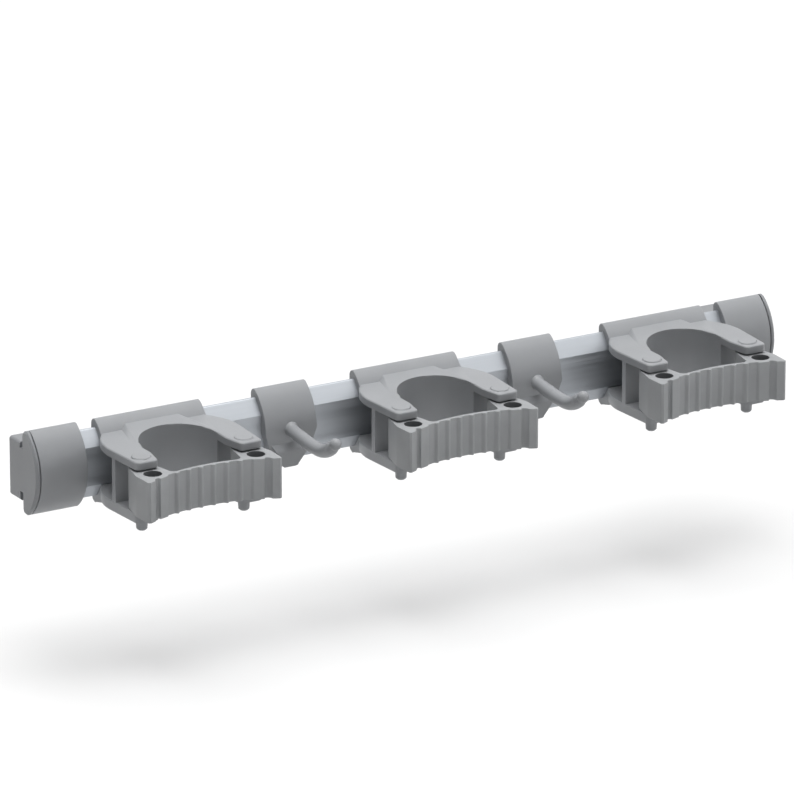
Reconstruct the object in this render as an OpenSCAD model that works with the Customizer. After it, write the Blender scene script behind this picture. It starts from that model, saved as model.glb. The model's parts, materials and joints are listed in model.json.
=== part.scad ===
// Wall mop holder rack: an aluminium rail on two wall brackets carries three handle
// holders, two hooks and two end covers, all clipped over the rail's two ridges.
// Millimetres. X runs along the rail and Z is up. The wall is the plane Y = 0 and the
// front of the rack faces -Y. The origin is on the wall, midway between the screw holes.
// "Depth" below is the distance in front of the wall, and "height" is measured from the
// rail's middle.

/* [Layout] */
// Overall length of the rack, end plate to end plate
rack_length = 422.6; // [420:0.2:480]
// Distance from each end of the rack to the nearest holder's centre
holder_inset = 67; // [65:0.1:68]
// Distance from each hook to the point midway between its holders
hook_lean = 1.75; // [0:0.05:3]
// Distance from each end of the rack to its screw hole
screw_inset = 13.3; // [12:0.1:17]

/* [Rail] */
// Gap between the wall and the back of the rail
rail_back = 10.5; // [9:0.1:12]
// Depth of the rail's flat front face
rail_front = 24.7; // [24:0.1:25.5]
// Height of the flat front face
rail_face = 19.7; // [18:0.1:21]
// Height over the two ridges
rail_height = 35; // [34:0.1:35.6]
// Slope of the bevels, from horizontal
bevel_angle = 53.5; // [50:0.5:56]
// Rounding of the ridges
ridge_r = 1.4; // [1:0.1:1.6]
// Height of the rail behind the ridges
shoulder_height = 28.6; // [27:0.1:29]
// Wall thickness of the extrusion
rail_wall = 1.8; // [1.4:0.1:2]
// Thickness of the two lips at the back
lip_t = 2; // [1.5:0.1:2.4]
// Height of the open slot between the lips
slot_height = 22.6; // [20:0.1:23]
// Radius of the access holes for the wall screws in the rail's face
access_r = 5.5; // [5:0.1:6]

/* [Clipped shells] */
// Radius of the shells' D-shaped front
shell_r = 26; // [25.5:0.1:27]
// Depth of the centre of that front
shell_centre = 3.5; // [3:0.1:4]
// Radius of the curls over the ridges
curl_r = 3; // [2.8:0.1:3.2]
// Depth of the centre of the curls
curl_depth = 17.3; // [17:0.1:17.6]
// Height of the curls' tips from the rail's middle
curl_tip = 16; // [15.8:0.1:16.6]
// Gap between a clipped shell and the rail
slide_fit = 0.1; // [0.05:0.01:0.2]

/* [End brackets and covers] */
// Thickness of the D-shaped end plates
plate_t = 2.3; // [2:0.1:3]
// Bevel round the outer edge of the end plates
plate_bevel = 1; // [0.6:0.1:1.6]
// Length of the block that stands on the wall
block_length = 34; // [30:0.5:36]
// Distance from the block's end to the end plate's face
block_inset = 0.9; // [0:0.1:2]
// Height of the block above the rail's middle
block_above = 14.1; // [13:0.1:15]
// Height of the block below the rail's middle
block_below = 16.1; // [15:0.1:17]
// Rounding of the block's corners
block_r = 1.5; // [0.5:0.1:3]
// Length of the tongue inside the rail
tongue_length = 27; // [24:0.5:29]
// Gap between the tongue and the rail
tongue_fit = 0.2; // [0.1:0.05:0.3]
// Radius of the wall screw holes
screw_r = 2.75; // [2:0.05:3.2]
// Radius of the recess for a screw head
screw_head_r = 5; // [4:0.1:5.4]
// Depth of that recess
screw_head_t = 4; // [3:0.1:6]
// Length of an end cover along the rail
cover_length = 25.4; // [22:0.1:26]
// Gap between a cover and its end plate
cover_gap = 0.4; // [0.2:0.05:0.6]

/* [Holder body] */
// Width of the jaws that clip on the rail
jaw_width = 58.2; // [52:0.2:60]
// Height of the top of the upper plate
upper_top = 15.7; // [15.2:0.1:16]
// Thickness of the upper plate
upper_t = 3.9; // [3.4:0.1:4.4]
// Height of the top of the lower plate, below the rail's middle
lower_top = 10.2; // [9.8:0.1:10.8]
// Thickness of the lower plate
lower_t = 5; // [4.4:0.1:5.4]
// Radius of the plates' rounded sides
side_r = 32; // [31.5:0.1:32.5]
// Distance of the centres of those sides from the middle
side_offset = 4; // [3.6:0.1:4.4]
// Depth at which the holder is widest
side_depth = 44.5; // [44:0.1:46]
// Depth of the arms' tips
arm_depth = 70.8; // [70:0.1:72]
// Half width of the holder across the arms' tips
arm_half = 34.6; // [34:0.1:35]
// Rounding of the arms' outer corners
arm_r = 2.4; // [2:0.1:3.5]
// Rounding of the arms' inner corners
arm_inner_r = 2; // [1.5:0.1:2.5]
// Softening of the upper plate's edges
edge_r = 0.9; // [0.5:0.1:1.4]
// Radius of the opening for a handle
mouth_r = 20.6; // [20:0.1:21]
// Depth of the centre of that opening
mouth_depth = 52; // [51.5:0.1:52.5]
// Length of the flare at the arms' tips
flare_length = 11.3; // [10:0.1:13]
// Half width of the opening at the arms' tips
flare_half = 22.4; // [22:0.1:24]
// Thickness of the half-round wall under the opening
wall_t = 2.5; // [2:0.1:3]
// Depth at which the wall and the ribs end
rib_depth = 50.8; // [50:0.1:52]
// Thickness of the side ribs
rib_t = 3.4; // [2.6:0.1:4]
// Half width of the raised collar beside the opening
collar_half = 22.2; // [21.8:0.1:23]
// Depth at which the collar starts to narrow
collar_shoulder = 43; // [41:0.5:46]
// Half width of the collar where it meets the jaws
collar_neck = 16.6; // [14:0.1:18]
// Depth of the collar's neck
collar_back = 24; // [23:0.1:26]
// Tilt of the collar's top
collar_tilt = 4.5; // [3.5:0.1:5]
// Width of the slope round the collar
collar_slope = 2.6; // [1.6:0.1:3.2]
// Height of the lower jaw's flat foot, below the rail's middle
foot_height = 19.6; // [19:0.1:20.2]

/* [Strap and pins] */
// Distance of each strap pin from the middle of the holder
pin_offset = 28.1; // [27.8:0.1:28.4]
// Distance from the strap pins to the arms' tips
pin_inset = 7.5; // [6.8:0.1:8.2]
// Radius of a strap pin
pin_r = 3.1; // [2.8:0.1:3.3]
// Running fit of the pins in the plates and the strap
pin_fit = 0.05; // [0.02:0.01:0.1]
// Radius of a pin's head
pin_head_r = 4.6; // [4.2:0.1:4.8]
// Thickness of a pin's head
pin_head_t = 1.6; // [1.2:0.1:2]
// Height of a pin's head above the upper plate
pin_proud = 0.4; // [0.2:0.1:0.8]
// Bevel round a pin's head
pin_edge = 0.4; // [0.2:0.1:0.8]
// Length of the tapered end below the lower plate
pin_end = 6.1; // [4:0.1:7]
// Radius at the tip of the tapered end
pin_tip_r = 2.75; // [2:0.05:2.9]
// Height of the strap
strap_height = 20.7; // [19.8:0.1:20.8]
// Gap between the strap and the lower plate
strap_gap = 0.3; // [0.2:0.05:0.6]
// Radius of the strap's hollow front face
strap_r = 80; // [78:0.5:84]
// Distance from the pins to the strap's front face at its middle
strap_reach = 14.9; // [14:0.1:15.6]
// Thickness of the thin band
band_t = 2.4; // [2.2:0.1:3]
// Radius of the strap round a pin
eye_r = 6.2; // [5.6:0.1:6.6]
// Radius of the strap's thick ends
lobe_r = 8.7; // [8.4:0.1:8.9]
// Distance of the thick ends from the middle
lobe_offset = 28.3; // [28:0.1:28.6]
// Distance from the pins to the centres of the thick ends
lobe_reach = 11.9; // [11.4:0.1:12.4]
// Radius of the hole through a thick end
lobe_hole_r = 4.5; // [4:0.1:5]
// Half width of the strap at its front corners
corner_half = 36.2; // [35.5:0.1:36.8]
// Rounding between the thin band and the thick ends
strap_fillet = 3; // [2:0.1:4]
// Distance from the middle to the first grip crest
crest_first = 3.5; // [3:0.1:4]
// Spacing of the grip crests
crest_pitch = 6.65; // [6.4:0.05:6.9]
// Number of grip crests on each side
crest_count = 4; // [3:1:4]
// Depth of the grip valleys
valley_t = 0.9; // [0.5:0.1:1.2]
// Distance from a crest to the valley beside it
valley_step = 2.4; // [1.5:0.1:3]
// Distance from the middle to the groove in each thick end
groove_offset = 30.1; // [29.5:0.1:31]
// Radius of that groove
groove_r = 1.4; // [0.8:0.1:1.6]

/* [Hook] */
// Width of a hook's shell
hook_width = 28.8; // [26:0.2:30]
// Height at which the shell's sides start to taper, from the rail's middle
taper_height = 0.5; // [-1:0.1:3]
// Rounding where the taper starts
taper_r = 5.8; // [4:0.1:7]
// Height of the tongue's end below the rail's middle
tongue_end = 18.4; // [17.8:0.1:19]
// Half width of the tongue's flat end
tongue_half = 2.2; // [1.5:0.1:3]
// Rounding of the tongue's corners
tongue_r = 3.2; // [2.5:0.1:4]
// Half width of the catch behind the tongue
catch_half = 8; // [6:0.1:9]
// Depth of the front of the thumb tab at its crest
tab_depth = 31.2; // [30.6:0.1:31.6]
// Height of that crest below the rail's middle
tab_height = 9; // [8:0.1:10]
// Height at which the thumb tab leaves the shell, below the rail's middle
tab_start = 5; // [4:0.1:6]
// Depth of the front of the thumb tab at its end
tab_end_depth = 28.4; // [27.6:0.1:29.5]
// Thickness of the tab at its end
tab_t = 2.8; // [2.4:0.1:3.2]
// Rounding of the tab's crest
tab_r = 3; // [2:0.5:4]
// Rounding of the tab's end
tab_edge = 1.2; // [0.8:0.1:1.3]
// Radius of a hook's peg
peg_r = 3.45; // [3.2:0.1:3.8]
// Height at which the peg leaves the shell
peg_height = 1.6; // [1.2:0.1:2.4]
// Downward slope of the peg's root
peg_slope = 6.5; // [5:0.5:9]
// Length of the peg's straight root in front of the shell
peg_root = 16; // [15:0.5:18]
// Radius of the peg's gentle bend
bend_r = 50; // [44:1:56]
// Length of the peg's level stretch
peg_level = 4.4; // [2:0.1:6]
// Radius of the peg's upturned end
upturn_r = 22; // [20:0.5:24]
// Sweep of the upturned end
upturn_angle = 38.5; // [34:0.5:44]
// Radius of the ball on the peg's end
ball_r = 3; // [2.8:0.1:3.1]
// Step by which each stretch of the peg is thinner than the one before
peg_step = 0.04; // [0.02:0.01:0.1]
// Radius of the neck behind the ball
neck_r = 2.6; // [2.3:0.1:2.7]
// Distance from the end of the bend to the ball's centre
ball_reach = 4.4; // [4.1:0.1:5]
// Radius of the peg where it leaves the shell
peg_root_r = 3.2; // [2.9:0.1:3.3]
// Spread of the fillet round the peg's root
root_spread = 0.8; // [0.4:0.1:1.2]
// Distance from the upturn to the edge of the groove before the ball
neck_reach = 2; // [1.5:0.1:2.2]

/* [Colours] */
// Colour of the aluminium rail
rail_colour = "#B4BCC4";
// Colour of the moulded plastic
body_colour = "#8A8C8E";
// Colour of the rubber straps
strap_colour = "#7C7E80";

/* [Hidden] */
$fn = 96;
hull_fn = 32;
far = 60;
skin = 0.5;
corner_steps = 8;
half_turn = 180;
end_x = rack_length / 2;
holder_pitch = end_x - holder_inset;
hook_offset = holder_pitch / 2 - hook_lean;
screw_offset = end_x - screw_inset;
block_end = end_x - block_inset;
rail_end = end_x - plate_t;
cover_inner = rail_end - cover_gap - cover_length;
bevel_line = sin(bevel_angle) * rail_front + cos(bevel_angle) * rail_face / 2;
ridge_height = rail_height / 2 - ridge_r;
ridge_depth = (bevel_line - ridge_r - cos(bevel_angle) * ridge_height) / sin(bevel_angle);
shoulder = shoulder_height / 2;
cavity = shoulder - rail_wall;
curl_reach = shell_r - curl_r;
curl_height = sqrt(pow(curl_reach, 2) - pow(curl_depth - shell_centre, 2));
curl_touch = shell_centre + (curl_depth - shell_centre) * shell_r / curl_reach;
curl_back = curl_depth - curl_r;
ridge_back = ridge_depth - ridge_r - slide_fit;
upper_bottom = upper_top - upper_t;
lower_bottom = lower_top + lower_t;
flare_depth = arm_depth - flare_length;
pin_depth = arm_depth - pin_inset;
strap_bottom = strap_gap - lower_top;
lobe_depth = pin_depth + lobe_reach;
front_centre = pin_depth + strap_reach + strap_r;
tab_top = shell_centre + sqrt(pow(shell_r, 2) - pow(tab_start, 2)) - slide_fit;
hook_half = hook_width / 2;
jaw_half = jaw_width / 2;

// Geometry helpers

// Extrudes a (depth, height) profile along the rail, between two stations
module along_rail(from, to)
    translate([(from + to) / 2, 0, 0])
        rotate([90, 0, -90])
            linear_extrude(height = abs(to - from), center = true)
                children();

// Extrudes a (sideways, depth) plan upwards, between two heights
module upright(low, high)
    translate([0, 0, low])
        mirror([0, 1, 0])
            linear_extrude(height = high - low)
                children();

// Extrudes a (sideways, height) outline away from the wall, between two depths
module outwards(near, beyond)
    translate([0, -near, 0])
        rotate([90, 0, 0])
            linear_extrude(height = beyond - near)
                children();

// Draws a child and its mirror image about the first axis of the drawing
module both_ways(axis) {
    children();
    mirror(axis) children();
}

// One of the two points where two circles cross
function crossing(a, ra, b, rb, side) =
    let (d = b - a, l = norm(d), t = (l * l + ra * ra - rb * rb) / (2 * l), h = sqrt(ra * ra - t * t))
    a + d * t / l + side * h * [-d[1], d[0]] / l;

// Points of an arc, from one angle to another
function arc_points(centre, radius, from, to, steps) =
    [for (i = [0 : steps]) centre + radius * [cos(from + (to - from) * i / steps), sin(from + (to - from) * i / steps)]];

// Angle of a direction
function heading_of(v) = atan2(v[1], v[0]);

// The same angle, counted from 0 down to -360
function back_turn(angle) = angle > 0 ? angle - 2 * half_turn : angle;

// Points of one rounded corner between its two neighbours
function corner_points(before, corner, after, radius) =
    let (
        a = (before - corner) / norm(before - corner),
        b = (after - corner) / norm(after - corner),
        half = acos(a * b) / 2,
        centre = corner + (a + b) / norm(a + b) * radius / sin(half),
        start = heading_of(corner + a * radius / tan(half) - centre),
        turn = a[0] * b[1] - a[1] * b[0] > 0 ? -1 : 1
    )
    arc_points(centre, radius, start, start + turn * (half_turn - 2 * half), corner_steps);

// Outline through a list of corners, each given as sideways, up and rounding
function rounded(corners) =
    let (n = len(corners))
    [
        for (i = [0 : n - 1])
            let (b = corners[(i + n - 1) % n], c = corners[i], a = corners[(i + 1) % n])
            each c[2] > 0
                ? corner_points([b[0], b[1]], [c[0], c[1]], [a[0], a[1]], c[2])
                : [[c[0], c[1]]]
    ];

// A half outline followed by its mirror image, going back
function mirrored(half) =
    concat(half, [for (i = [len(half) - 1 : -1 : 0]) if (half[i][0] > 0) [-half[i][0], half[i][1]]]);

// Round-edged disc, its top at a given height
module soft_disc(radius, low, high, soft)
    rotate_extrude() {
        translate([0, low]) square([radius, high - low - soft]);
        translate([0, low]) square([radius - soft, high - low]);
        intersection() {
            translate([radius - soft, high - soft]) circle(r = soft);
            translate([0, low]) square([radius + soft, high - low + soft]);
        }
    }

// Rail profile and the shells that follow it

// Point where the bevel, moved outwards by a distance, leaves the flat face
function face_corner(grow) =
    [rail_front + grow, rail_face / 2 + grow * tan((90 - bevel_angle) / 2)];

// Depth of the bevel, moved outwards by a distance, at a given height
function bevel_depth(height, grow) =
    (bevel_line + grow - cos(bevel_angle) * height) / sin(bevel_angle);

// Closed outer outline of the rail, grown by a gap on every side
module rail_outline(grow) {
    r = ridge_r + grow;
    ridge = [ridge_depth, ridge_height];
    touch = ridge + r * [sin(bevel_angle), cos(bevel_angle)];
    both_ways([0, 1]) {
        polygon([
            [rail_front + grow, 0], face_corner(grow), touch, ridge,
            [ridge_depth - r, ridge_height], [ridge_depth - r, shoulder + grow],
            [rail_back - grow, shoulder + grow], [rail_back - grow, 0]
        ]);
        translate(ridge) circle(r = r);
    }
}

// Channel inside the rail, shrunk by a gap on every side
module rail_channel(shrink) {
    inset = -rail_wall - shrink;
    top = cavity - shrink;
    both_ways([0, 1])
        polygon([
            [rail_back + lip_t + shrink, 0], [rail_back + lip_t + shrink, top],
            [bevel_depth(top, inset), top], face_corner(inset), [rail_front + inset, 0]
        ]);
}

// D-shaped outline that the end plates, covers, hooks and jaws share
module shell_outline(inset) {
    touch = curl_touch;
    intersection() {
        translate([shell_centre, 0]) circle(r = shell_r - inset);
        translate([touch, -far]) square([far, 2 * far]);
    }
    both_ways([0, 1]) {
        translate([curl_depth, curl_height]) circle(r = curl_r - inset);
        translate([curl_back + inset, 0]) square([touch + skin - curl_back - inset, curl_height]);
    }
}

// Section of a shell that clips over the rail
module shell_section()
    difference() {
        shell_outline(0);
        rail_outline(slide_fit);
        translate([0, -curl_tip]) square([ridge_back, 2 * curl_tip]);
    }

// Aluminium rail

module rail()
    color(rail_colour)
        difference() {
            along_rail(-rail_end, rail_end)
                difference() {
                    rail_outline(0);
                    rail_channel(0);
                    translate([0, -slot_height / 2]) square([rail_front - rail_wall - skin, slot_height]);
                }
            both_ways([1, 0, 0])
                translate([screw_offset, 0, 0])
                    outwards(rail_back + lip_t, rail_front + skin)
                        circle(r = access_r);
        }

// End brackets, one moulding each: wall block, neck, tongue and end plate

module end_plate()
    hull() {
        along_rail(rail_end, end_x - plate_bevel)
            shell_outline(0);
        along_rail(end_x - plate_bevel, end_x)
            shell_outline(plate_bevel);
    }

module wall_block()
    outwards(0, rail_back)
        polygon(rounded([
            [block_end - block_length, -block_below, block_r], [block_end, -block_below, block_r],
            [block_end, block_above, block_r], [block_end - block_length, block_above, block_r]
        ]));

module end_bracket_solid()
    color(body_colour)
        difference() {
            union() {
                wall_block();
                end_plate();
                along_rail(rail_end - tongue_length, block_end)
                    translate([rail_back - skin, tongue_fit - slot_height / 2])
                        square([curl_back - rail_back + 2 * skin, slot_height - 2 * tongue_fit]);
                along_rail(rail_end - tongue_length, rail_end + skin)
                    rail_channel(tongue_fit);
            }
            translate([screw_offset, 0, 0]) {
                outwards(-skin, rail_front)
                    circle(r = screw_r);
                outwards(rail_front - rail_wall - tongue_fit - screw_head_t, rail_front)
                    circle(r = screw_head_r);
            }
        }

module end_bracket_right()
    end_bracket_solid();

module end_bracket_left()
    mirror([1, 0, 0]) end_bracket_solid();

// End covers

module end_cover_right()
    color(body_colour)
        along_rail(cover_inner, cover_inner + cover_length)
            shell_section();

module end_cover_left()
    mirror([1, 0, 0]) end_cover_right();

// Handle holders

// Corners of one arm's outline in plan, each with its radius
arm_corners = [
    [side_offset + side_r - arm_r, side_depth, arm_r],
    [arm_half - arm_r, arm_depth - arm_r, arm_r],
    [flare_half + arm_inner_r, arm_depth - arm_inner_r, arm_inner_r],
    [mouth_r + arm_r, flare_depth, arm_r],
    [mouth_r + arm_r, side_depth, arm_r]
];

// Plate with rounded sides and two arms, its top edge softened
module holder_plate(low, high, soft) {
    intersection() {
        both_ways([1, 0, 0])
            translate([side_offset, -side_depth, 0])
                soft_disc(side_r, low, high, soft);
        translate([-far, -side_depth, low - skin]) cube([2 * far, side_depth - ridge_depth, high - low + 2 * skin]);
    }
    both_ways([1, 0, 0])
        hull()
            for (corner = arm_corners)
                translate([corner[0], -corner[1], 0])
                    soft_disc(corner[2], low, high, soft, $fn = hull_fn);
}

// The handle's opening in plan
module mouth_plan() {
    translate([0, mouth_depth]) circle(r = mouth_r);
    polygon([
        [-mouth_r, mouth_depth], [-mouth_r, flare_depth], [-flare_half, arm_depth - arm_inner_r],
        [-flare_half, arm_depth + skin], [flare_half, arm_depth + skin],
        [flare_half, arm_depth - arm_inner_r], [mouth_r, flare_depth], [mouth_r, mouth_depth]
    ]);
}

// Plan of the raised collar, a given distance in from its foot
module collar_plan(inset) {
    side = collar_half - inset;
    neck = collar_neck - inset;
    polygon([
        [-neck, collar_back - curl_r], [-neck, collar_back], [-side, collar_shoulder],
        [-side, rib_depth - inset], [side, rib_depth - inset], [side, collar_shoulder],
        [neck, collar_back], [neck, collar_back - curl_r]
    ]);
}

// Raised collar round the back of the opening, its top rising towards the rail
module collar()
    hull() {
        upright(upper_bottom, upper_top) collar_plan(0);
        translate([0, -rib_depth, upper_top])
            rotate([collar_tilt, 0, 0])
                translate([0, rib_depth, 0])
                    upright(-skin, 0) collar_plan(collar_slope);
    }

// Half-round wall under the opening and the two side ribs
module holder_walls()
    upright(-lower_top - skin, upper_bottom + skin) {
        intersection() {
            translate([0, mouth_depth]) circle(r = mouth_r + wall_t);
            translate([-far, 0]) square([2 * far, rib_depth]);
        }
        both_ways([1, 0])
            translate([mouth_r, rib_depth - rib_t]) square([side_offset + side_r - mouth_r - skin, rib_t]);
    }

// Jaws that clip over the rail's two ridges
module holder_jaws()
    along_rail(-jaw_half, jaw_half) {
        intersection() {
            shell_outline(0);
            union() {
                translate([0, upper_bottom]) square([far, far]);
                translate([0, -lower_top - far]) square([far, far]);
            }
        }
        polygon([
            [curl_depth, -curl_height - curl_r], [rail_front, -foot_height],
            [rail_front, -lower_top], [curl_depth, -lower_top]
        ]);
    }

module holder_body()
    color(body_colour)
        difference() {
            union() {
                holder_jaws();
                holder_plate(upper_bottom, upper_top, edge_r);
                holder_plate(-lower_bottom, -lower_top, edge_r / 2);
                collar();
                holder_walls();
            }
            along_rail(-far, far) {
                rail_outline(slide_fit);
                translate([0, -curl_tip]) square([ridge_back, 2 * curl_tip]);
            }
            upright(-far, far) mouth_plan();
            both_ways([1, 0, 0])
                translate([pin_offset, 0, 0]) {
                    upright(-far, far)
                        translate([0, pin_depth]) circle(r = pin_r + pin_fit);
                    upright(upper_top + pin_proud - pin_head_t, far)
                        translate([0, pin_depth]) circle(r = pin_head_r + 2 * pin_fit);
                }
        }

module holder_left()
    translate([-holder_pitch, 0, 0]) holder_body();

module holder_middle()
    holder_body();

module holder_right()
    translate([holder_pitch, 0, 0]) holder_body();

// Rubber straps

// Point of the strap's hollow front, a given distance in from its face
function strap_point(sideways, inside) =
    [sideways, front_centre - sqrt(pow(strap_r + inside, 2) - pow(sideways, 2))];

// Outline of the strap from the middle of its front, round one end, to the middle of its back
function strap_half() =
    let (
        eye = [pin_offset, pin_depth],
        lobe = [lobe_offset, lobe_depth],
        front = [0, front_centre],
        back_r = strap_r + band_t,
        bend = crossing(lobe, lobe_r + strap_fillet, front, back_r + strap_fillet, 1),
        spread = asin((lobe_r - eye_r) / norm(lobe - eye))
    )
    concat(
        [strap_point(0, valley_t / 2)],
        [
            for (i = [0 : crest_count - 1], k = [0, 1])
                let (crest = crest_first + i * crest_pitch)
                if (k == 0 || i < crest_count - 1)
                    strap_point(crest + k * valley_step, k * valley_t)
        ],
        [for (i = [1 : 4]) strap_point(crest_first + (crest_count - 1) * crest_pitch + i, 0)],
        [strap_point(corner_half, 0)],
        arc_points(lobe, lobe_r, 0, -spread, 2),
        arc_points(eye, eye_r, -spread, spread - half_turn, 3 * corner_steps),
        arc_points(lobe, lobe_r, spread - half_turn, back_turn(heading_of(bend - lobe)), corner_steps / 2),
        arc_points(bend, strap_fillet, heading_of(lobe - bend), heading_of(front - bend), corner_steps),
        [for (i = [corner_steps - 1 : -1 : 0]) back_point(bend[0] * i / corner_steps)]
    );

// Point of the thin band's back
function back_point(sideways) = strap_point(sideways, band_t);

module strap_plan()
    difference() {
        polygon(mirrored(strap_half()));
        both_ways([1, 0]) {
            translate(strap_point(groove_offset, 0)) circle(r = groove_r);
            translate([pin_offset, pin_depth]) circle(r = pin_r + pin_fit);
            translate([lobe_offset, lobe_depth]) circle(r = lobe_hole_r);
        }
    }

module strap()
    color(strap_colour)
        upright(strap_bottom, strap_bottom + strap_height) strap_plan();

module strap_left()
    translate([-holder_pitch, 0, 0]) strap();

module strap_middle()
    strap();

module strap_right()
    translate([holder_pitch, 0, 0]) strap();

// Strap pins

module strap_pin(sideways)
    color(body_colour)
        translate([sideways, -pin_depth, 0])
            rotate_extrude() {
                head_top = upper_top + pin_proud;
                tip_rise = 2 * pin_edge;
                polygon([
                    [0, head_top], [0, -lower_bottom - pin_end], [pin_tip_r - tip_rise, -lower_bottom - pin_end],
                    [pin_tip_r, tip_rise - lower_bottom - pin_end], [pin_r, -lower_bottom],
                    [pin_r, head_top - pin_head_t], [pin_head_r, head_top - pin_head_t],
                    [pin_head_r, head_top - pin_edge], [pin_head_r - pin_edge, head_top]
                ]);
            }

module strap_pin_left_a()
    strap_pin(-holder_pitch - pin_offset);

module strap_pin_left_b()
    strap_pin(pin_offset - holder_pitch);

module strap_pin_middle_a()
    strap_pin(-pin_offset);

module strap_pin_middle_b()
    strap_pin(pin_offset);

module strap_pin_right_a()
    strap_pin(holder_pitch - pin_offset);

module strap_pin_right_b()
    strap_pin(holder_pitch + pin_offset);

// Hooks

// Front outline of a hook's shell, its end at a given half width and height
module hook_outline(end_half, end_height, end_r)
    polygon(shield(end_half, end_height, end_r));

function shield(end_half, end_height, end_r) =
    rounded([
        [-hook_half, 2 * shell_r, 0], [-hook_half, taper_height, taper_r], [-end_half, -end_height, end_r],
        [end_half, -end_height, end_r], [hook_half, taper_height, taper_r], [hook_half, 2 * shell_r, 0]
    ]);

// Centre of the peg's gentle bend, as depth and height
bend_centre = [shell_centre + shell_r - curl_r, peg_height]
    + (curl_r + peg_root) * [cos(peg_slope), -sin(peg_slope)]
    + bend_r * [sin(peg_slope), cos(peg_slope)];
// Centre of its upturn
upturn_centre = bend_centre + [peg_level, upturn_r - bend_r];

// Turned root of the peg, spread where it leaves the shell, along the first axis
module peg_start() {
    length = curl_r + peg_root;
    rotate([0, 90, 0])
        rotate_extrude()
            polygon([
                [0, 0], [peg_root_r + root_spread, 0], [peg_root_r + root_spread, curl_r - root_spread / 2],
                [peg_root_r + root_spread / 3, curl_r + root_spread / 2], [peg_root_r, curl_r + 2 * root_spread],
                [peg_r, length], [0, length]
            ]);
}

// Turned end of the peg: a neck and a ball, along the first axis
module peg_finish() {
    edge = acos(neck_r / ball_r);
    rotate([0, 90, 0])
        rotate_extrude()
            polygon(concat(
                [[0, -skin], [peg_r - 3 * peg_step, -skin], [peg_r - 3 * peg_step, 0]],
                [[ball_r + peg_step, neck_reach]],
                [[neck_r, ball_reach - ball_r * sin(edge)]],
                arc_points([0, ball_reach], ball_r, -edge, 90, 2 * corner_steps)
            ));
}

// A bend of the peg in the plane of its depth and height, between two slopes
module peg_bend(centre, radius, thick, from, to)
    translate([centre[0], centre[1], 0])
        rotate([0, 0, from - 90])
            rotate_extrude(angle = to - from)
                translate([radius, 0]) circle(r = thick);

// Peg: root, gentle bend, level stretch, upturn and ball, each a little thinner than the last
module peg() {
    start = bend_centre - bend_r * [sin(peg_slope), cos(peg_slope)];
    end = upturn_centre + upturn_r * [sin(upturn_angle), -cos(upturn_angle)];
    lap = skin / bend_r * half_turn / PI;
    rotate([90, 0, -90]) {
        translate([start[0], start[1], 0])
            rotate([0, 0, -peg_slope])
                translate([-curl_r - peg_root, 0, 0]) peg_start();
        peg_bend(bend_centre, bend_r, peg_r - peg_step, -peg_slope - lap, 0);
        peg_bend(upturn_centre, upturn_r, peg_r - 2 * peg_step, -lap, upturn_angle);
        translate([bend_centre[0] - skin, bend_centre[1] - bend_r, 0])
            rotate([0, 90, 0]) cylinder(r = peg_r - 1.5 * peg_step, h = peg_level + skin);
        translate([end[0], end[1], 0])
            rotate([0, 0, upturn_angle]) peg_finish();
    }
}

module hook_solid()
    color(body_colour) {
        intersection() {
            along_rail(-hook_half, hook_half)
                shell_section();
            outwards(0, far)
                hook_outline(catch_half, curl_height + curl_r + skin, tongue_r);
        }
        intersection() {
            along_rail(-hook_half, hook_half)
                difference() {
                    polygon(rounded([
                        [tab_top, -tab_start, 0], [tab_depth, -tab_height, tab_r],
                        [tab_end_depth, -tongue_end, tab_edge], [tab_end_depth - tab_t, -tongue_end, tab_edge],
                        [rail_front, -tab_height, 0], [rail_front, -tab_start, 0]
                    ]));
                    rail_outline(slide_fit);
                }
            outwards(0, far)
                hook_outline(tongue_half + tongue_r / 2, tongue_end, tongue_r);
        }
        peg();
    }

module hook_left()
    translate([-hook_offset, 0, 0]) hook_solid();

module hook_right()
    translate([hook_offset, 0, 0]) hook_solid();

rail();
end_bracket_left();
end_bracket_right();
end_cover_left();
end_cover_right();
holder_left();
holder_middle();
holder_right();
strap_left();
strap_middle();
strap_right();
strap_pin_left_a();
strap_pin_left_b();
strap_pin_middle_a();
strap_pin_middle_b();
strap_pin_right_a();
strap_pin_right_b();
hook_left();
hook_right();
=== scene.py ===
"""Wall mop holder rack: the looks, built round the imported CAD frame.

Metres, in the frame of the CAD model: the wall is the plane Y = 0, the front of the rack
faces -Y, X runs along the rail and Z is up.
"""

import json
from math import acos, asin, atan2, cos, hypot, pi, radians, sin, sqrt

import bpy
from mathutils import Matrix, Vector

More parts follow.
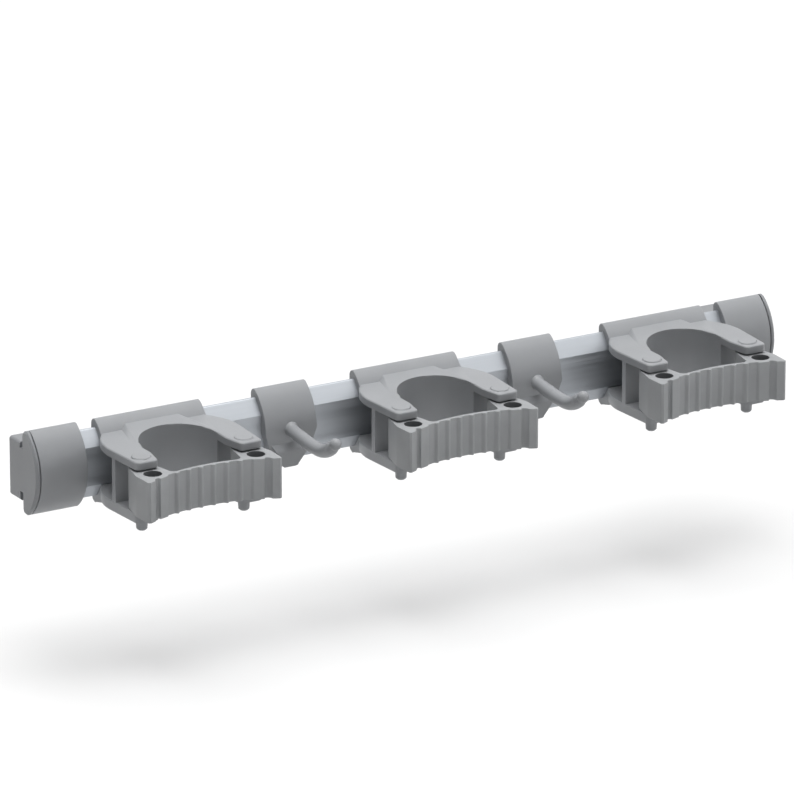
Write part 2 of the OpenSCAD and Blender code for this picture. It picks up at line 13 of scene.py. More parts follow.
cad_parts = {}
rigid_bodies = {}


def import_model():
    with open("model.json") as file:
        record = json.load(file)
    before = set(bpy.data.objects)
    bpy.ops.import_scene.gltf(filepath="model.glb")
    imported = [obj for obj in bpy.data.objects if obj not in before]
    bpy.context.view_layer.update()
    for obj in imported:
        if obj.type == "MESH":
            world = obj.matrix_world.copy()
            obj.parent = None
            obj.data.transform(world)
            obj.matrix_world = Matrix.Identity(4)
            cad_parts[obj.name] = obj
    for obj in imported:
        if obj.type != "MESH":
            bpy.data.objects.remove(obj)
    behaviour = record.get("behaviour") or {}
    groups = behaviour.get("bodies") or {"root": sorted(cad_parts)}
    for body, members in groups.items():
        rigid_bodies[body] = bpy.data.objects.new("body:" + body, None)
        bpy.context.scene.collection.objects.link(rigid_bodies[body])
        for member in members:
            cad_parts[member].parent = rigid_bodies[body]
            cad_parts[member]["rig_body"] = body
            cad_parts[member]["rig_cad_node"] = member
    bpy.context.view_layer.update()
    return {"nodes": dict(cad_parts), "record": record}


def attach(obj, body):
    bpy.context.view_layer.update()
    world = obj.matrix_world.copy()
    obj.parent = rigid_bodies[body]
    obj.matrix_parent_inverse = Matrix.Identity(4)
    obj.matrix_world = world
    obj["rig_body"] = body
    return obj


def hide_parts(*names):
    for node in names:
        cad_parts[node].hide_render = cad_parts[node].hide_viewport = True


bl_info = {
    "name": "Wall Mop Holder Rack",
    "version": (1, 0, 0),
    "blender": (4, 5, 0),
    "location": "View3D > Sidebar > Mop Rack",
    "description": "Dresses the wall mop holder rack with its finished pieces and materials",
    "category": "Object",
}

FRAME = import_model()
MM = 0.001
SIDES = ("left", "right")
HOLDERS = ("left", "middle", "right")


# Colours and lengths


def linear(hex_colour):
    """The linear colour of an sRGB hex value."""
    parts = [int(hex_colour[i : i + 2], 16) / 255 for i in (1, 3, 5)]
    return tuple(p / 12.92 if p <= 0.04045 else ((p + 0.055) / 1.055) ** 2.4 for p in parts)


def mm(length):
    """A length in millimetres, as metres."""
    return length * MM


def colour_property(name, description, hex_colour):
    return bpy.props.FloatVectorProperty(
        name=name,
        description=description,
        default=linear(hex_colour),
        subtype="COLOR",
        size=3,
        min=0,
        max=1,
    )


def number_property(name, description, value, **limits):
    return bpy.props.FloatProperty(name=name, description=description, default=value, **limits)


def length_property(name, description, millimetres, least=0):
    return number_property(
        name, description, mm(millimetres), unit="LENGTH", min=mm(least), precision=5
    )


class RackFinish(bpy.types.PropertyGroup):
    """Colours and edges of the rack's pieces."""

    plastic: colour_property("Plastic", "Grey of the holders, hooks, covers and pins", "#929497")
    # The bracket grey is the plastic made darker: painted shade on the brackets.
    bracket: colour_property("Bracket plastic", "Grey of the moulded end brackets", "#85878A")
    rubber: colour_property("Rubber", "Grey of the straps", "#999B9D")
    # Bore: a darker rubber for the holes' walls, painted shade for the shade deep inside them.
    bore: colour_property("Bore", "Grey of the dusty holes through the straps' ends", "#585A5C")
    aluminium: colour_property("Aluminium", "Satin aluminium of the rail", "#B0B4B9")
    edge: length_property("Moulded edge", "Rounding of the moulded pieces' outer edges", 0.5)
    pin_edge: length_property("Pin edge", "Rounding of the pins' edges", 0.2)
    rail_edge: length_property("Rail edge", "Rounding of the rail's edges", 0.15)


class StrapShape(bpy.types.PropertyGroup):
    """Sizes of a rubber strap, in the plan of its holder."""

    height: length_property("Height", "Height of the strap", 20.7)
    bottom: length_property("Bottom", "Underside, from the rail's middle up", -9.9, least=-1000)
    pin_offset: length_property("Pin offset", "From the holder's middle to a pin", 28.1)
    pin_depth: length_property("Pin depth", "From the wall to the pins", 63.3)
    pin_hole: length_property("Pin hole", "Radius of the hole round a pin", 3.15)
    eye: length_property("Eye", "Outer radius of the rubber round a pin", 6.2)
    lobe_offset: length_property("End offset", "From the holder's middle to a thick end", 28.3)
    lobe_depth: length_property("End depth", "From the wall to the thick ends", 75.2)
    lobe: length_property("End", "Outer radius of a thick end", 8.7)
    bore: length_property("Bore", "Radius of the hole through a thick end", 4.5)
    front_depth: length_property("Front depth", "From the wall to the front's middle", 78.2)
    hollow: length_property("Hollow", "Radius of the hollow front", 80)
    band: length_property("Band", "Thickness of the thin band", 2.4)
    fillet: length_property("Fillet", "Radius between a thick end and the band's back", 3)
    corner: length_property("Corner", "From the holder's middle to the front corners", 36.6)
    chamfer: length_property("Chamfer", "Size of the front corners' chamfer", 1.2)
    crests: bpy.props.IntProperty(
        name="Crests", description="Number of crests on each side", default=3, min=1
    )
    crest_first: length_property("First crest", "From the holder's middle to the first crest", 3.5)
    crest_pitch: length_property("Crest pitch", "Distance from crest to crest", 6.85)
    crest_width: length_property("Crest width", "Width of a crest at its foot", 3.2)
    crest_height: length_property("Crest height", "Height of the crests over the valleys", 1.3)
    valley: length_property("Valley", "Depth of the valleys at the holder's middle", 0.4)
    valley_fall: number_property(
        "Valley fall", "Further depth of the valleys for each unit outwards", 0.025, min=0
    )
    step: length_property("Step", "From the middle to the step beside the last valley", 23.2)
    step_width: length_property("Step width", "Width over which the step rises", 0.7)
    groove_offset: length_property("Groove", "From the holder's middle to a groove", 30.3)
    groove: length_property("Groove radius", "Radius of a groove", 1.8)
    edge: length_property("Edge", "Rounding of the upper and lower edges", 0.25)


class StageLook(bpy.types.PropertyGroup):
    """Camera, lamps and floor."""

    azimuth: number_property(
        "Azimuth", "Direction of the view, from the wall's normal", radians(30.315), subtype="ANGLE"
    )
    elevation: number_property(
        "Elevation", "How far the view looks down", radians(18.914), subtype="ANGLE"
    )
    distance: length_property("Distance", "Distance of the camera from the rack", 3905.726)
    aim_depth: length_property("Aim depth", "From the wall to the point aimed at", 17.5)
    aim_height: length_property("Aim height", "From the rail's middle up to that point", 21.3)
    slide_right: length_property("Slide right", "How far the aim moves right", -3.111, least=-1000)
    slide_up: length_property("Slide up", "How far the aim moves up", -17.717, least=-1000)
    lens: number_property("Lens", "Focal length of the camera in mm", 358.54, min=1, unit="CAMERA")
    floor_drop: length_property("Floor", "How far the floor lies below the rail's middle", 98)
    horizon: number_property("Horizon", "Light of the room's walls", 0.03, min=0)
    zenith: number_property("Zenith", "Light of the room's ceiling", 3.4, min=0)
    ceiling: number_property("Ceiling", "How narrowly the ceiling's light falls", 6.0, min=1)
    key: number_property("Key lamp", "Strength of the lamp overhead", 1.5, min=0)
    side: number_property("Side lamp", "Strength of the lamp on the right", 0.38, min=0)
    floor_shade: number_property("Floor shade", "Grey of the matt floor", 0.56, min=0, max=1)
    floor_glow: number_property("Floor glow", "What lifts the floor to white", 0.3, min=0)


# Materials

# A noise texture's values lie mostly between these two.
NOISE_LOW, NOISE_HIGH = 0.3, 0.7


class Nodes:
    """A material's node tree, filled one node at a time."""

    def __init__(self, tree):
        self.tree = tree
        tree.nodes.clear()

    def add(self, kind, settings=None, **links):
        """Adds a node with its settings; a link is named for its socket, with _ for a space."""
        made = self.tree.nodes.new(kind)
        for name, value in (settings or {}).items():
            if isinstance(name, str) and hasattr(made, name):
                setattr(made, name, value)
            else:
                made.inputs[name].default_value = value
        for name, source in links.items():
            # A name such as _0 gives the socket's number, where sockets share a name.
            number = name[1:]
            socket = made.inputs[int(number) if number.isdigit() else name.replace("_", " ")]
            self.tree.links.new(source, socket)
        return made


def new_material(name):
    material = bpy.data.materials.new(name)
    material.use_nodes = True
    return material, Nodes(material.node_tree)


def finish_grained(nodes, colour, drift, patches, grain, roughness, relief, constants):
    """Finishes a surface: patches vary its colour, and a grain varies its gloss and height.

    Roughness is its least and greatest value, and relief the bump's strength and depth.
    """
    shade = nodes.add("ShaderNodeValToRGB", Fac=patches.outputs["Fac"])
    low, high = shade.color_ramp.elements
    low.position, high.position = NOISE_LOW, NOISE_HIGH
    low.color = [c * (1 - drift) for c in colour] + [1]
    high.color = [min(1, c * (1 + drift)) for c in colour] + [1]
    gloss = nodes.add(
        "ShaderNodeMapRange",
        {
            "From Min": NOISE_LOW,
            "From Max": NOISE_HIGH,
            "To Min": roughness[0],
            "To Max": roughness[1],
        },
        Value=grain.outputs["Fac"],
    )
    strength, depth = relief
    bump = nodes.add(
        "ShaderNodeBump", {"Strength": strength, "Distance": depth}, Height=grain.outputs["Fac"]
    )
    surface = nodes.add(
        "ShaderNodeBsdfPrincipled",
        constants,
        Base_Color=shade.outputs["Color"],
        Roughness=gloss.outputs["Result"],
        Normal=bump.outputs["Normal"],
    )
    nodes.add("ShaderNodeOutputMaterial", Surface=surface.outputs["BSDF"])


def moulded_plastic(name, colour):
    """Glass-filled polyamide, injection moulded in a spark-eroded tool."""
    # Polyamide filled with glass is stiff and dull: a satin sheen, broken up by the fine
    # grain of the tool, and a shade that drifts a little where the melt has flowed.
    material, nodes = new_material(name)
    place = nodes.add("ShaderNodeTexCoord").outputs["Object"]
    # The melt's flow shows in patches of about 26 mm.
    flow = nodes.add(
        "ShaderNodeTexNoise",
        {"Scale": 1 / mm(26), "Detail": 3.0, "Roughness": 0.5},
        Vector=place,
    )
    # The real grain is about 0.1 mm; it is drawn at 0.5 mm so that it shows.
    grain = nodes.add(
        "ShaderNodeTexNoise",
        {"Scale": 1 / mm(0.5), "Detail": 2.0, "Roughness": 0.6},
        Vector=place,
    )
    finish_grained(
        nodes,
        colour,
        drift=0.05,
        patches=flow,
        grain=grain,
        roughness=(0.34, 0.44),
        relief=(0.12, mm(0.05)),
        constants={"IOR": 1.5},
    )
    return material


def strap_rubber(name, colour):
    """Thermoplastic rubber, moulded with a fine matt grain."""
    # Soft rubber scatters what falls on it: little gloss, a bloom that lightens it in
    # patches, and a grain finer than the plastic's.
    material, nodes = new_material(name)
    place = nodes.add("ShaderNodeTexCoord").outputs["Object"]
    # The bloom lies in patches of about 14 mm.
    bloom = nodes.add(
        "ShaderNodeTexNoise",
        {"Scale": 1 / mm(14), "Detail": 4.0, "Roughness": 0.55},
        Vector=place,
    )
    # The real grain is about 0.1 mm; it is drawn at 0.4 mm so that it shows.
    grain = nodes.add(
        "ShaderNodeTexNoise",
        {"Scale": 1 / mm(0.4), "Detail": 2.0, "Roughness": 0.6},
        Vector=place,
    )
    finish_grained(
        nodes,
        colour,
        drift=0.05,
        patches=bloom,
        grain=grain,
        roughness=(0.48, 0.58),
        relief=(0.15, mm(0.05)),
        constants={"IOR": 1.45},
    )
    return material


def satin_aluminium(colour):
    """Extruded aluminium, satin anodised."""
    # The die leaves hair lines along the extrusion, and the etch before anodising dulls
    # them: the gloss is broad, a little uneven from line to line, and slightly cool.
    material, nodes = new_material("anodised_aluminium_satin")
    place = nodes.add("ShaderNodeTexCoord").outputs["Object"]
    # The die lines, really finer, are drawn 0.8 mm apart across the rail and 160 mm long.
    along = nodes.add(
        "ShaderNodeMapping",
        {"Scale": (1 / mm(160), 1 / mm(0.8), 1 / mm(0.8))},
        Vector=place,
    )
    lines = nodes.add(
        "ShaderNodeTexNoise",
        {"Scale": 1.0, "Detail": 3.0, "Roughness": 0.6},
        Vector=along.outputs["Vector"],
    )
    finish_grained(
        nodes,
        colour,
        drift=0.04,
        patches=lines,
        grain=lines,
        roughness=(0.48, 0.58),
        relief=(0.1, mm(0.03)),
        constants={"Metallic": 0.92},
    )
    return material


def plain_look(nodes):
    """1 for what the camera sees, also in a gloss or through a pane, and 0 for other light."""
    light = nodes.add("ShaderNodeLightPath").outputs
    straight = nodes.add(
        "ShaderNodeMath",
        {"operation": "MAXIMUM"},
        _0=light["Is Camera Ray"],
        _1=light["Is Glossy Ray"],
    )
    seen = nodes.add(
        "ShaderNodeMath",
        {"operation": "MAXIMUM"},
        _0=straight.outputs[0],
        _1=light["Is Transmission Ray"],
    )
    return seen.outputs[0]


def studio_floor(shade, lift):
    """A matt white floor that keeps the rack's shadow and is white to the camera."""
    material, nodes = new_material("matt_white_floor")
    glow = nodes.add("ShaderNodeMath", {"operation": "MULTIPLY", 1: lift}, _0=plain_look(nodes))
    white = nodes.add("ShaderNodeEmission", {"Color": (1, 1, 1, 1)}, Strength=glow.outputs[0])
    matt = nodes.add("ShaderNodeBsdfDiffuse", {"Color": (shade, shade, shade, 1)})
    both = nodes.add("ShaderNodeAddShader", _0=matt.outputs[0], _1=white.outputs[0])
    nodes.add("ShaderNodeOutputMaterial", Surface=both.outputs[0])
    return material


# Modelling helpers

# Corners nearer to each other than the first are one, and faces that turn less than the
# second are flat.
MERGED = mm(0.005)
FLAT = radians(1)
# Edges that turn more than the first are rounded, on a strap those that turn more than the
# second, which spares its ribs. Edges that turn less than the last are shaded smooth.
SHARP = radians(50)
STRAP_RIM = radians(60)
SMOOTH = radians(34)
ROUNDING_STEPS = 3
# A ledge narrower than this isn't rounded, nor is a corner whose edge is shorter than this
# and a share of the rounding.
LEDGE = mm(0.15)
SHORT_SHARE = 0.3
# A face whose normal points lower than this is an underside.
UNDERSIDE = -0.99
FLAT_FACE_WEIGHT = 90
BORE_SIDES = 64
DRILL_LENGTH = mm(60)


def select_only(piece):
    bpy.ops.object.select_all(action="DESELECT")
    piece.select_set(True)
    bpy.context.view_layer.objects.active = piece


def apply_modifier(piece, kind, **settings):
    """Adds a modifier with its settings to a piece and applies it."""
    select_only(piece)
    modifier = piece.modifiers.new(kind.lower(), kind)
    for name, value in settings.items():
        setattr(modifier, name, value)
    bpy.ops.object.modifier_apply(modifier=modifier.name)


def place_in_mesh(piece):
    """Moves an object's place, turn and scale into its mesh."""
    select_only(piece)
    bpy.ops.object.transform_apply(location=True, rotation=True, scale=True)


def mark_outer_edges(mesh, width):
    """Weighs the sharp outer edges that have room for a rounding of the given width."""
    corners = mesh.vertices
    beside = {edge.key: [] for edge in mesh.edges}
    for face in mesh.polygons:
        for key in face.edge_keys:
            beside[key].append(face)
    lengths = {(a, b): (corners[a].co - corners[b].co).length for a, b in beside}
    # Corners of very short edges have no room, and neither have the faces of thin ledges.
    shortest = LEDGE + SHORT_SHARE * width
    cramped = {corner for key, length in lengths.items() if length < shortest for corner in key}
    weights = mesh.attributes.new("bevel_weight_edge", "FLOAT", "EDGE")
    for edge in mesh.edges:
        faces = beside[edge.key]
        if len(faces) != 2 or cramped.intersection(edge.key):
            continue
        one, other = faces
        turned = one.normal.angle(other.normal) > SHARP
        outer = one.normal.dot(other.center - corners[edge.key[0]].co) < 0
        if turned and outer and all(has_room(face, lengths, edge.key, width) for face in faces):
            weights.data[edge.index].value = 1.0


def has_room(face, lengths, key, width):
    """Whether a face is large enough to be rounded at one of its edges."""
    # The undersides stay sharp: they hang in shadow, and their outlines are too intricate.
    below = face.normal.z < UNDERSIDE
    ledge = 2 * face.area < LEDGE * sum(lengths[border] for border in face.edge_keys)
    return face.area > width * lengths[key] and not below and not ledge


def finished_copy(node, name, edge):
    """A merged copy of a CAD node's mesh with its sharp outer edges rounded."""
    select_only(FRAME["nodes"][node])
    bpy.ops.object.duplicate()
    piece = bpy.context.active_object
    piece.name = name
    piece.data.name = name
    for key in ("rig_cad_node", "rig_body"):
        if key in piece:
            del piece[key]
    piece.data.materials.clear()
    bpy.ops.object.mode_set(mode="EDIT")
    bpy.ops.mesh.select_all(action="SELECT")
    bpy.ops.mesh.remove_doubles(threshold=MERGED)
    bpy.ops.mesh.customdata_custom_splitnormals_clear()
    bpy.ops.mesh.dissolve_limited(angle_limit=FLAT)
    bpy.ops.object.mode_set(mode="OBJECT")
    mark_outer_edges(piece.data, edge)
    round_edges(piece, edge, limit_method="WEIGHT")
    return piece


def node_middle(node):
    """Middle of a CAD node along the rail."""
    xs = [corner[0] for corner in FRAME["nodes"][node].bound_box]
    return (min(xs) + max(xs)) / 2


def own_copy(piece, name):
    """A second piece with its own mesh."""
    select_only(piece)
    bpy.ops.object.duplicate()
    made = bpy.context.active_object
    made.name = name
    made.data.name = name
    return made


def traced_plate(name, outline, bottom, height):
    """A plate of even height, its plan traced point by point: each is sideways and depth."""
    bpy.ops.object.select_all(action="DESELECT")
    start = outline[0]
    bpy.ops.mesh.primitive_plane_add(size=mm(1), location=(start[0], -start[1], bottom))
    plate = bpy.context.active_object
    plate.name = name
    plate.data.name = name
    place_in_mesh(plate)
    bpy.ops.object.mode_set(mode="EDIT")
    bpy.ops.mesh.select_all(action="SELECT")
    bpy.ops.mesh.merge(type="CENTER")
    for here, there in zip(outline, outline[1:]):
        step = (there[0] - here[0], here[1] - there[1], 0)
        bpy.ops.mesh.extrude_vertices_move(TRANSFORM_OT_translate={"value": step})
    bpy.ops.mesh.select_all(action="SELECT")
    bpy.ops.mesh.edge_face_add()
    bpy.ops.mesh.extrude_region_move(TRANSFORM_OT_translate={"value": (0, 0, height)})
    bpy.ops.mesh.select_all(action="SELECT")
    bpy.ops.mesh.normals_make_consistent(inside=False)
    bpy.ops.object.mode_set(mode="OBJECT")
    return plate


def cut_bore(piece, place, radius):
    """Bores a round hole down through a piece at a place in its plan."""
    bpy.ops.object.select_all(action="DESELECT")
    bpy.ops.mesh.primitive_cylinder_add(
        vertices=BORE_SIDES, radius=radius, depth=DRILL_LENGTH, location=(place[0], -place[1], 0)
    )
    drill = bpy.context.active_object
    apply_modifier(piece, "BOOLEAN", operation="DIFFERENCE", solver="EXACT", object=drill)
    bpy.data.objects.remove(drill, do_unlink=True)


def round_edges(piece, width, **limit):
    """Rounds the edges that the limit names, and shades the gentle ones smooth."""
    apply_modifier(
        piece,
        "BEVEL",
        width=width,
        segments=ROUNDING_STEPS,
        use_clamp_overlap=False,
        **limit,
    )
    bpy.ops.object.shade_smooth_by_angle(angle=SMOOTH)


def body_of_node(node):
    for body, members in FRAME["record"]["behaviour"]["bodies"].items():
        if node in members:
            return body
    raise RuntimeError(f"no body holds {node}")


def dress(piece, node, material):
    """Gives a piece its material and its place on the body that carries the node it replaces."""
    piece.data.materials.append(material)
    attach(piece, body_of_node(node))
    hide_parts(node)


def moulded_part(node, material, edge):
    """Finishes a moulded node: rounded outer edges and flat faces that are shaded flat."""
    piece = finished_copy(node, f"moulded_{node}", edge)
    # Each large face keeps its own normal, so that only the roundings are shaded round.
    apply_modifier(piece, "WEIGHTED_NORMAL", keep_sharp=True, weight=FLAT_FACE_WEIGHT)
    dress(piece, node, material)


def plastic_material():
    """The plastic of the holders, hooks, covers and pins, made when it is first asked for."""
    name = "moulded_polyamide_grey"
    made = bpy.data.materials.get(name)
    return made or moulded_plastic(name, bpy.context.scene.rack_finish.plastic)


# Operators, one for each piece or group of like pieces


class RACK_OT_rail(bpy.types.Operator):
    """Finish the aluminium rail"""

    bl_idname = "mop_rack.rail"
    bl_label = "Rail"

    def execute(self, context):
        finish = context.scene.rack_finish
        piece = finished_copy("rail", "aluminium_rail", finish.rail_edge)
        dress(piece, "rail", satin_aluminium(finish.aluminium))
        return {"FINISHED"}


class RACK_OT_brackets(bpy.types.Operator):
    """Finish the two end brackets"""

    bl_idname = "mop_rack.brackets"
    bl_label = "End Brackets"

    def execute(self, context):
        # The brackets get a darker copy of the plastic, painted shade, so that they are seen a
        # shade darker than the pieces in front of them.
        finish = context.scene.rack_finish
        material = moulded_plastic("bracket_polyamide_painted_shade", finish.bracket)
        for side in SIDES:
            moulded_part(f"end_bracket_{side}", material, finish.edge)
        return {"FINISHED"}


class RACK_OT_covers(bpy.types.Operator):
    """Finish the two end covers"""

    bl_idname = "mop_rack.covers"
    bl_label = "End Covers"

    def execute(self, context):
        for side in SIDES:
            moulded_part(f"end_cover_{side}", plastic_material(), context.scene.rack_finish.edge)
        return {"FINISHED"}


class RACK_OT_holders(bpy.types.Operator):
    """Finish the three tool holder bodies"""

    bl_idname = "mop_rack.holders"
    bl_label = "Tool Holders"

    def execute(self, context):
        for place in HOLDERS:
            moulded_part(f"holder_{place}", plastic_material(), context.scene.rack_finish.edge)
        return {"FINISHED"}


class RACK_OT_hooks(bpy.types.Operator):
    """Finish the two peg hooks"""

    bl_idname = "mop_rack.hooks"
    bl_label = "Peg Hooks"

    def execute(self, context):
        for side in SIDES:
            moulded_part(f"hook_{side}", plastic_material(), context.scene.rack_finish.edge)
        return {"FINISHED"}


class RACK_OT_pins(bpy.types.Operator):
    """Finish the six strap pins"""

    bl_idname = "mop_rack.pins"
    bl_label = "Strap Pins"

    def execute(self, context):
        edge = context.scene.rack_finish.pin_edge
        for place in HOLDERS:
            for end in ("a", "b"):
                moulded_part(f"strap_pin_{place}_{end}", plastic_material(), edge)
        return {"FINISHED"}


# How finely a strap's outline is drawn: the spacing along its ribbed front, and the points
# on its other stretches.
FRONT_SPACING = mm(0.3)
OUTER_END_STEPS = 3
EYE_STEPS = 32
INNER_END_STEPS = 6
FILLET_STEPS = 10
BACK_STEPS = 24
# A crest follows a cosine to this power, which makes it narrower at the top.
CREST_POWER = 1.5


def arc(centre, radius, start, end, steps):
    """Points along an arc in the plan, angles in radians."""
    turns = [start + (end - start) * i / steps for i in range(steps + 1)]
    return [(centre[0] + radius * cos(t), centre[1] + radius * sin(t)) for t in turns]


def strap_front_point(shape, sideways, inside):
    """A point of the hollow front, a given distance in from its face: sideways and depth."""
    centre = shape.front_depth + shape.hollow
    return sideways, centre - sqrt((shape.hollow + inside) ** 2 - sideways**2)


def strap_relief(shape, sideways):
    """How far the front lies in from the hollow face: crests, valleys, a step and a groove."""
    rise = 0.0
    for i in range(shape.crests):
        crest = shape.crest_first + i * shape.crest_pitch
        near = min(abs(sideways - crest) / shape.crest_width, 0.5)
        rise = max(rise, cos(pi * near) ** CREST_POWER)
    valley = shape.valley + shape.valley_fall * sideways
    level = valley - shape.crest_height * rise
    # The last valley is deeper, and ends at the step up to the plain face.
    if sideways > shape.crest_first + (shape.crests - 0.5) * shape.crest_pitch:
        part = min(max((sideways - shape.step) / shape.step_width + 0.5, 0), 1)
        level = valley * (1 - part * part * (3 - 2 * part))
    across = abs(sideways - shape.groove_offset) / shape.groove
    if across < 1:
        level += shape.groove * sqrt(1 - across**2)
    return level


def strap_outline(shape):
    """Half the strap's plan, from the front's middle round one end to the back's middle."""
    eye = (shape.pin_offset, shape.pin_depth)
    lobe = (shape.lobe_offset, shape.lobe_depth)
    last = shape.corner - shape.chamfer
    steps = round(last / FRONT_SPACING)
    front = [last * i / steps for i in range(1, steps + 1)]
    outline = [strap_front_point(shape, s, strap_relief(shape, s)) for s in front]
    corner = strap_front_point(shape, shape.corner, 0)
    outline.append((corner[0], corner[1] - shape.chamfer))
    # Round the thick end and the eye, back to the thin band.
    slant = asin((shape.lobe - shape.eye) / hypot(lobe[0] - eye[0], lobe[1] - eye[1]))
    outline += arc(lobe, shape.lobe, 0, -slant, OUTER_END_STEPS)
    outline += arc(eye, shape.eye, -slant, slant - pi, EYE_STEPS)
    # The fillet touches the thick end and the band's back. Its centre lies a fillet's radius
    # from both, in the triangle that it makes with the end's centre and the hollow's.
    centre = shape.front_depth + shape.hollow
    far = centre - lobe[1]
    reach = hypot(far, lobe[0])
    to_bend = shape.hollow + shape.band + shape.fillet
    beside = shape.lobe + shape.fillet
    swing = acos((reach**2 + to_bend**2 - beside**2) / (2 * reach * to_bend))
    angle = atan2(lobe[0], far) - swing
    bend = (to_bend * sin(angle), centre - to_bend * cos(angle))
    towards_lobe = atan2(lobe[1] - bend[1], lobe[0] - bend[0])
    outline += arc(lobe, shape.lobe, slant - pi, towards_lobe - pi, INNER_END_STEPS)
    towards_front = atan2(centre - bend[1], -bend[0])
    outline += arc(bend, shape.fillet, towards_lobe, towards_front, FILLET_STEPS)
    back = [bend[0] * i / BACK_STEPS for i in range(BACK_STEPS - 1, 0, -1)]
    outline += [strap_front_point(shape, s, shape.band) for s in back]
    return outline


def mark_bores(strap, shape):
    """Gives the walls of the holes through the thick ends the strap's second material, a darker
    rubber that paints their shade.
    """
    for face in strap.data.polygons:
        aside = abs(face.center.x) - shape.lobe_offset
        ahead = -face.center.y - shape.lobe_depth
        upright = abs(face.normal.z) < 0.5
        if upright and hypot(aside, ahead) < shape.bore:
            face.material_index = 1


class RACK_OT_straps(bpy.types.Operator):
    """Model the three ribbed rubber straps"""

    bl_idname = "mop_rack.straps"
    bl_label = "Rubber Straps"

    def execute(self, context):
        shape = context.scene.strap_shape
        half = strap_outline(shape)
        middle_front = [strap_front_point(shape, 0, strap_relief(shape, 0))]
        middle_back = [strap_front_point(shape, 0, shape.band)]
        outline = middle_front + half + middle_back + [(-s, depth) for s, depth in reversed(half)]
        strap = traced_plate("rubber_strap_middle", outline, shape.bottom, shape.height)
        for side in (-1, 1):
            cut_bore(strap, (side * shape.pin_offset, shape.pin_depth), shape.pin_hole)
            cut_bore(strap, (side * shape.lobe_offset, shape.lobe_depth), shape.bore)
        round_edges(strap, shape.edge, limit_method="ANGLE", angle_limit=STRAP_RIM)
        mark_bores(strap, shape)
        finish = context.scene.rack_finish
        rubber = strap_rubber("moulded_rubber_grey", finish.rubber)
        # The holes' walls get a darker rubber: painted shade, standing in for the shade deep in the
        # holes.
        painted_shade = strap_rubber("painted_shade_rubber_bore", finish.bore)
        for place in HOLDERS:
            piece = strap
            if place != "middle":
                piece = own_copy(strap, f"rubber_strap_{place}")
                shift = node_middle(f"strap_{place}") - node_middle("strap_middle")
                bpy.ops.transform.translate(value=(shift, 0, 0))
                place_in_mesh(piece)
            dress(piece, f"strap_{place}", rubber)
            piece.data.materials.append(painted_shade)
        return {"FINISHED"}


# The floor's width in metres, the camera's sensor in millimetres, how far it sees in metres,
# and for each lamp the width in degrees that it seems to have and where it shines from.
FLOOR_WIDTH = 60
SENSOR_WIDTH = 36
FARTHEST = 200
OVERHEAD = (50, (0.12, -0.04, 1.0))
FROM_THE_RIGHT = (35, (0.8, -0.5, 0.25))


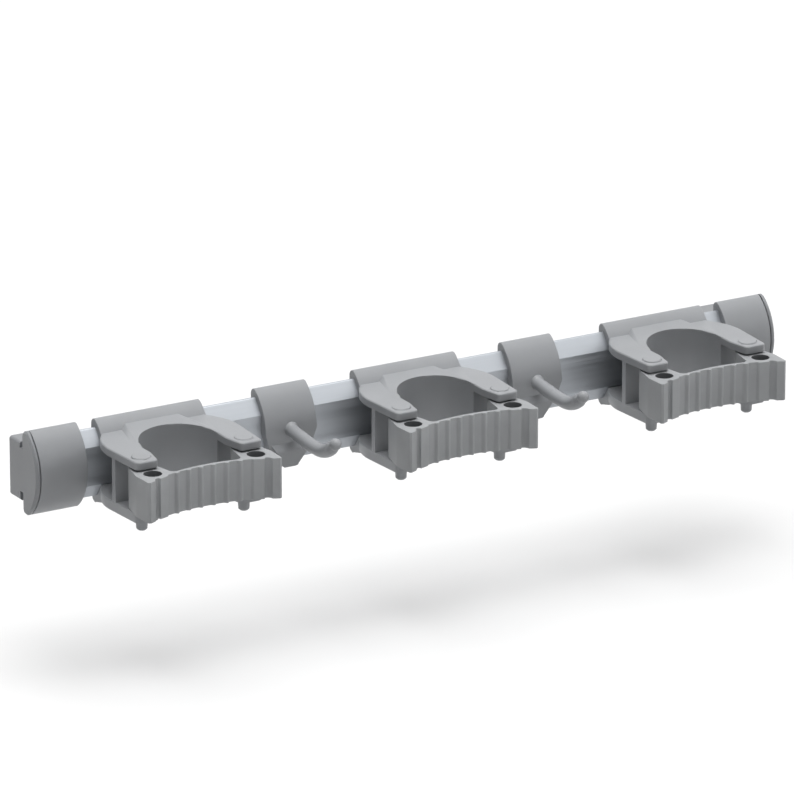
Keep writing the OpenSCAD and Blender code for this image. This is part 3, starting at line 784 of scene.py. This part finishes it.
class RACK_OT_stage(bpy.types.Operator):
    """Set the floor, the lamps and the camera"""

    bl_idname = "mop_rack.stage"
    bl_label = "Stage"

    def execute(self, context):
        look = context.scene.stage_look
        self.floor(look)
        context.scene.world = self.room(look)
        self.lamp("overhead_soft_lamp", look.key, *OVERHEAD)
        self.lamp("right_soft_lamp", look.side, *FROM_THE_RIGHT)
        context.scene.camera = self.camera(look)
        context.scene.view_settings.view_transform = "Standard"
        return {"FINISHED"}

    def floor(self, look):
        """A wide floor below the rack."""
        bpy.ops.object.select_all(action="DESELECT")
        bpy.ops.mesh.primitive_plane_add(size=FLOOR_WIDTH, location=(0, 0, -look.floor_drop))
        floor = bpy.context.active_object
        floor.name = "studio_floor"
        place_in_mesh(floor)
        floor.data.materials.append(studio_floor(look.floor_shade, look.floor_glow))

    def room(self, look):
        """A room whose ceiling is brighter than its walls, and which is white to the camera."""
        world = bpy.data.worlds.new("studio_white")
        world.use_nodes = True
        nodes = Nodes(world.node_tree)
        way = nodes.add("ShaderNodeTexCoord").outputs["Generated"]
        rise = nodes.add("ShaderNodeSeparateXYZ", Vector=way)
        above = nodes.add("ShaderNodeMath", {"operation": "MAXIMUM", 1: 0.0}, _0=rise.outputs["Z"])
        steep = nodes.add(
            "ShaderNodeMath", {"operation": "POWER", 1: look.ceiling}, _0=above.outputs[0]
        )
        glow = nodes.add(
            "ShaderNodeMapRange",
            {"To Min": look.horizon, "To Max": look.zenith},
            Value=steep.outputs[0],
        )
        strength = nodes.add(
            "ShaderNodeMapRange",
            {"To Max": 1.0},
            Value=plain_look(nodes),
            To_Min=glow.outputs["Result"],
        )
        sky = nodes.add(
            "ShaderNodeBackground", {"Color": (1, 1, 1, 1)}, Strength=strength.outputs["Result"]
        )
        nodes.add("ShaderNodeOutputWorld", Surface=sky.outputs[0])
        return world

    def camera(self, look):
        """A camera at the photograph's viewing angle."""
        right = Vector((cos(look.azimuth), -sin(look.azimuth), 0))
        level = Vector((sin(look.azimuth), cos(look.azimuth), 0))
        ahead = level * cos(look.elevation) - Vector((0, 0, sin(look.elevation)))
        up = right.cross(ahead)
        aim = Vector((0, -look.aim_depth, look.aim_height))
        aim += right * look.slide_right + up * look.slide_up
        turn = Matrix((right, up, -ahead)).transposed().to_euler()
        bpy.ops.object.camera_add(location=aim - ahead * look.distance, rotation=turn)
        camera = bpy.context.active_object
        camera.name = "photo_view"
        camera.data.sensor_width = SENSOR_WIDTH
        camera.data.lens = look.lens
        camera.data.clip_end = FARTHEST
        return camera

    def lamp(self, name, strength, width, source):
        """A soft lamp far away, shining from a direction."""
        turn = Vector(source).to_track_quat("Z", "Y").to_euler()
        bpy.ops.object.light_add(type="SUN", location=source, rotation=turn)
        lamp = bpy.context.active_object
        lamp.name = name
        lamp.data.energy = strength
        lamp.data.angle = radians(width)


class RACK_PT_pieces(bpy.types.Panel):
    """The pieces of the rack, one button each"""

    bl_label = "Mop Holder Rack"
    bl_space_type = "VIEW_3D"
    bl_region_type = "UI"
    bl_category = "Mop Rack"

    def draw(self, context):
        column = self.layout.column()
        scene = context.scene
        for group in (scene.rack_finish, scene.strap_shape, scene.stage_look):
            for name in group.bl_rna.properties.keys():
                if name not in ("rna_type", "name"):
                    column.prop(group, name)
        for operator in OPERATORS:
            column.operator(operator.bl_idname)


GROUPS = (RackFinish, StrapShape, StageLook)
OPERATORS = (
    RACK_OT_stage,
    RACK_OT_rail,
    RACK_OT_brackets,
    RACK_OT_covers,
    RACK_OT_holders,
    RACK_OT_straps,
    RACK_OT_pins,
    RACK_OT_hooks,
)


def register():
    for kind in (*GROUPS, *OPERATORS, RACK_PT_pieces):
        bpy.utils.register_class(kind)
    bpy.types.Scene.rack_finish = bpy.props.PointerProperty(type=RackFinish)
    bpy.types.Scene.strap_shape = bpy.props.PointerProperty(type=StrapShape)
    bpy.types.Scene.stage_look = bpy.props.PointerProperty(type=StageLook)


def unregister():
    del bpy.types.Scene.stage_look
    del bpy.types.Scene.strap_shape
    del bpy.types.Scene.rack_finish
    for kind in reversed((*GROUPS, *OPERATORS, RACK_PT_pieces)):
        bpy.utils.unregister_class(kind)


def main():
    """Makes every piece."""
    register()
    bpy.ops.mop_rack.stage()
    bpy.ops.mop_rack.rail()
    bpy.ops.mop_rack.brackets()
    bpy.ops.mop_rack.covers()
    bpy.ops.mop_rack.holders()
    bpy.ops.mop_rack.straps()
    bpy.ops.mop_rack.pins()
    bpy.ops.mop_rack.hooks()


if __name__ == "__main__":
    main()
